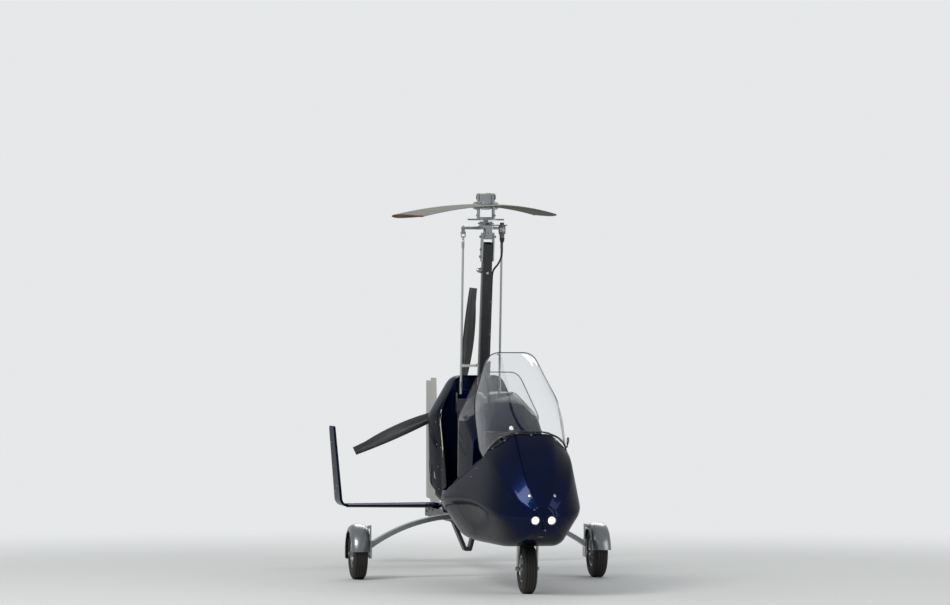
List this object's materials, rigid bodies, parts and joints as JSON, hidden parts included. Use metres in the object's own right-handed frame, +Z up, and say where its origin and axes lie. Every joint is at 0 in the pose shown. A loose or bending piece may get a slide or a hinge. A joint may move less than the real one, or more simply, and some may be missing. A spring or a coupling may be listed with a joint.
{
  "type": "gyrocopter",
  "caption": "Open tandem gyrocopter on a tricycle gear, with a tilting two-blade teetering rotor, pusher propeller, steered nose wheel and rudder.",
  "frame": {"origin": "on the ground under the rotor hub, in the middle plane", "axes": "+Z up, nose toward -Y, starboard toward -X"},
  "size_m": [2.563, 8.1123, 2.7518],
  "materials": {
    "dark_paint": "deep blue gloss lacquer over moulded laminate",
    "light_paint": "light grey gloss lacquer over moulded laminate",
    "silver_paint": "silver metallic lacquer",
    "clear_screen": "clear acrylic",
    "black_frame": "black satin powder coat",
    "steel": "brushed stainless steel",
    "aluminium": "machined aluminium",
    "blade_grey": "satin anodised aluminium",
    "black_composite": "black carbon laminate",
    "black_plastic": "textured black moulding",
    "cushion": "dark woven upholstery",
    "rubber": "black tyre rubber",
    "engine_metal": "cast alloy",
    "exhaust": "heat-tinted steel",
    "lamp": "clear lamp lens"
  },
  "bodies": {
    "airframe": {"keel": "black_frame", "mast": "black_frame", "mast_head": "aluminium", "control_levers": "steel", "mast_arm": "aluminium", "hull": "dark_paint", "nose_hood": "dark_paint", "windscreen_front": "clear_screen", "fairing": "dark_paint", "windscreen_rear": "clear_screen", "cockpit_tub": "black_plastic", "cushion_front": "cushion", "cushion_rear": "cushion", "backrest_front": "cushion", "backrest_rear": "cushion", "instrument_panel": "black_plastic", "stick_front": "black_frame", "stick_rear": "black_frame", "pedals": "black_frame", "engine": "engine_metal", "engine_mount": "black_frame", "muffler": "exhaust", "engine_cowl": "dark_paint", "gear_bow": "silver_paint", "axle_right": "steel", "axle_left": "steel", "mudguard_right": "silver_paint", "mudguard_left": "silver_paint", "wheel_well": "black_plastic", "tailplane": "dark_paint", "end_fin_right": "dark_paint", "end_fin_left": "dark_paint", "fin": "light_paint", "landing_lamps": "lamp", "boarding_step": "black_frame"},
    "nose_fork": {"nose_fork": "steel"},
    "nose_wheel": {"tyre_nose": "rubber", "rim_nose": "aluminium"},
    "main_wheel_right": {"tyre_right": "rubber", "rim_right": "aluminium"},
    "main_wheel_left": {"tyre_left": "rubber", "rim_left": "aluminium"},
    "propeller": {"propeller": "black_composite"},
    "gimbal": {"gimbal_block": "aluminium"},
    "head": {"head_bridge": "aluminium", "bearing_housing": "aluminium", "prerotator": "aluminium"},
    "rotor_shaft": {"rotor_tower": "aluminium"},
    "rotor": {"hub_bar": "aluminium", "rotor_blade_front": "blade_grey", "rotor_blade_rear": "blade_grey"},
    "rod_joint_right": {"rod_joint_right": "steel"},
    "rod_joint_left": {"rod_joint_left": "steel"},
    "rod_right": {"rod_right": "silver_paint"},
    "rod_left": {"rod_left": "silver_paint"},
    "rudder": {"rudder": "light_paint"}
  },
  "joints": [
    {"name": "nose_steer", "type": "hinge", "parent": "airframe", "child": "nose_fork", "pos_m": [0, -1.635, 0.36], "axis": [0, 0, 1], "range_deg": [-25, 25]},
    {"name": "nose_wheel_spin", "type": "hinge", "parent": "nose_fork", "child": "nose_wheel", "pos_m": [0, -1.61, 0.168], "axis": [1, 0, 0], "continuous": true},
    {"name": "main_wheel_right_spin", "type": "hinge", "parent": "airframe", "child": "main_wheel_right", "pos_m": [-0.87, 0.33, 0.185], "axis": [1, 0, 0], "continuous": true},
    {"name": "main_wheel_left_spin", "type": "hinge", "parent": "airframe", "child": "main_wheel_left", "pos_m": [0.87, 0.33, 0.185], "axis": [1, 0, 0], "continuous": true},
    {"name": "propeller_spin", "type": "hinge", "parent": "airframe", "child": "propeller", "pos_m": [0, 1.085, 1.24], "axis": [0, 1, 0], "continuous": true},
    {"name": "head_pitch", "type": "hinge", "parent": "airframe", "child": "gimbal", "pos_m": [0, -0.07501, 2.44], "axis": [-1, 0, 0], "range_deg": [-2, 16]},
    {"name": "head_roll", "type": "hinge", "parent": "gimbal", "child": "head", "pos_m": [0, -0.07501, 2.466], "axis": [0, 1, 0], "range_deg": [-9, 9]},
    {"name": "rotor_spin", "type": "hinge", "parent": "head", "child": "rotor_shaft", "pos_m": [0, 0, 2.662], "axis": [0, -0.0349, 0.9994], "continuous": true},
    {"name": "teeter", "type": "hinge", "parent": "rotor_shaft", "child": "rotor", "pos_m": [0, -0.00216, 2.72396], "axis": [0.9563, -0.2922, -0.0102], "range_deg": [-6, 6]},
    {"name": "rod_joint_right_swing", "type": "hinge", "parent": "head", "child": "rod_joint_right", "pos_m": [-0.14, 0.14, 2.474], "axis": [0, 1, 0], "range_deg": [-9, 9]},
    {"name": "rod_right_swing", "type": "hinge", "parent": "rod_joint_right", "child": "rod_right", "pos_m": [-0.14, 0.14, 2.474], "axis": [-1, 0, 0], "range_deg": [-16, 2]},
    {"name": "rod_joint_left_swing", "type": "hinge", "parent": "head", "child": "rod_joint_left", "pos_m": [0.14, 0.14, 2.474], "axis": [0, 1, 0], "range_deg": [-9, 9]},
    {"name": "rod_left_swing", "type": "hinge", "parent": "rod_joint_left", "child": "rod_left", "pos_m": [0.14, 0.14, 2.474], "axis": [-1, 0, 0], "range_deg": [-16, 2]},
    {"name": "rudder_swing", "type": "hinge", "parent": "airframe", "child": "rudder", "pos_m": [0, 2.38, 0.9], "axis": [0, 0, 1], "range_deg": [-25, 25]}
  ],
  "couplings": [
    {"joint": "rudder_swing", "follows": "nose_steer", "ratio": -1},
    {"joint": "rod_joint_right_swing", "follows": "head_roll", "ratio": -1},
    {"joint": "rod_joint_left_swing", "follows": "head_roll", "ratio": -1},
    {"joint": "rod_right_swing", "follows": "head_pitch", "ratio": -1},
    {"joint": "rod_left_swing", "follows": "head_pitch", "ratio": -1}
  ]
}
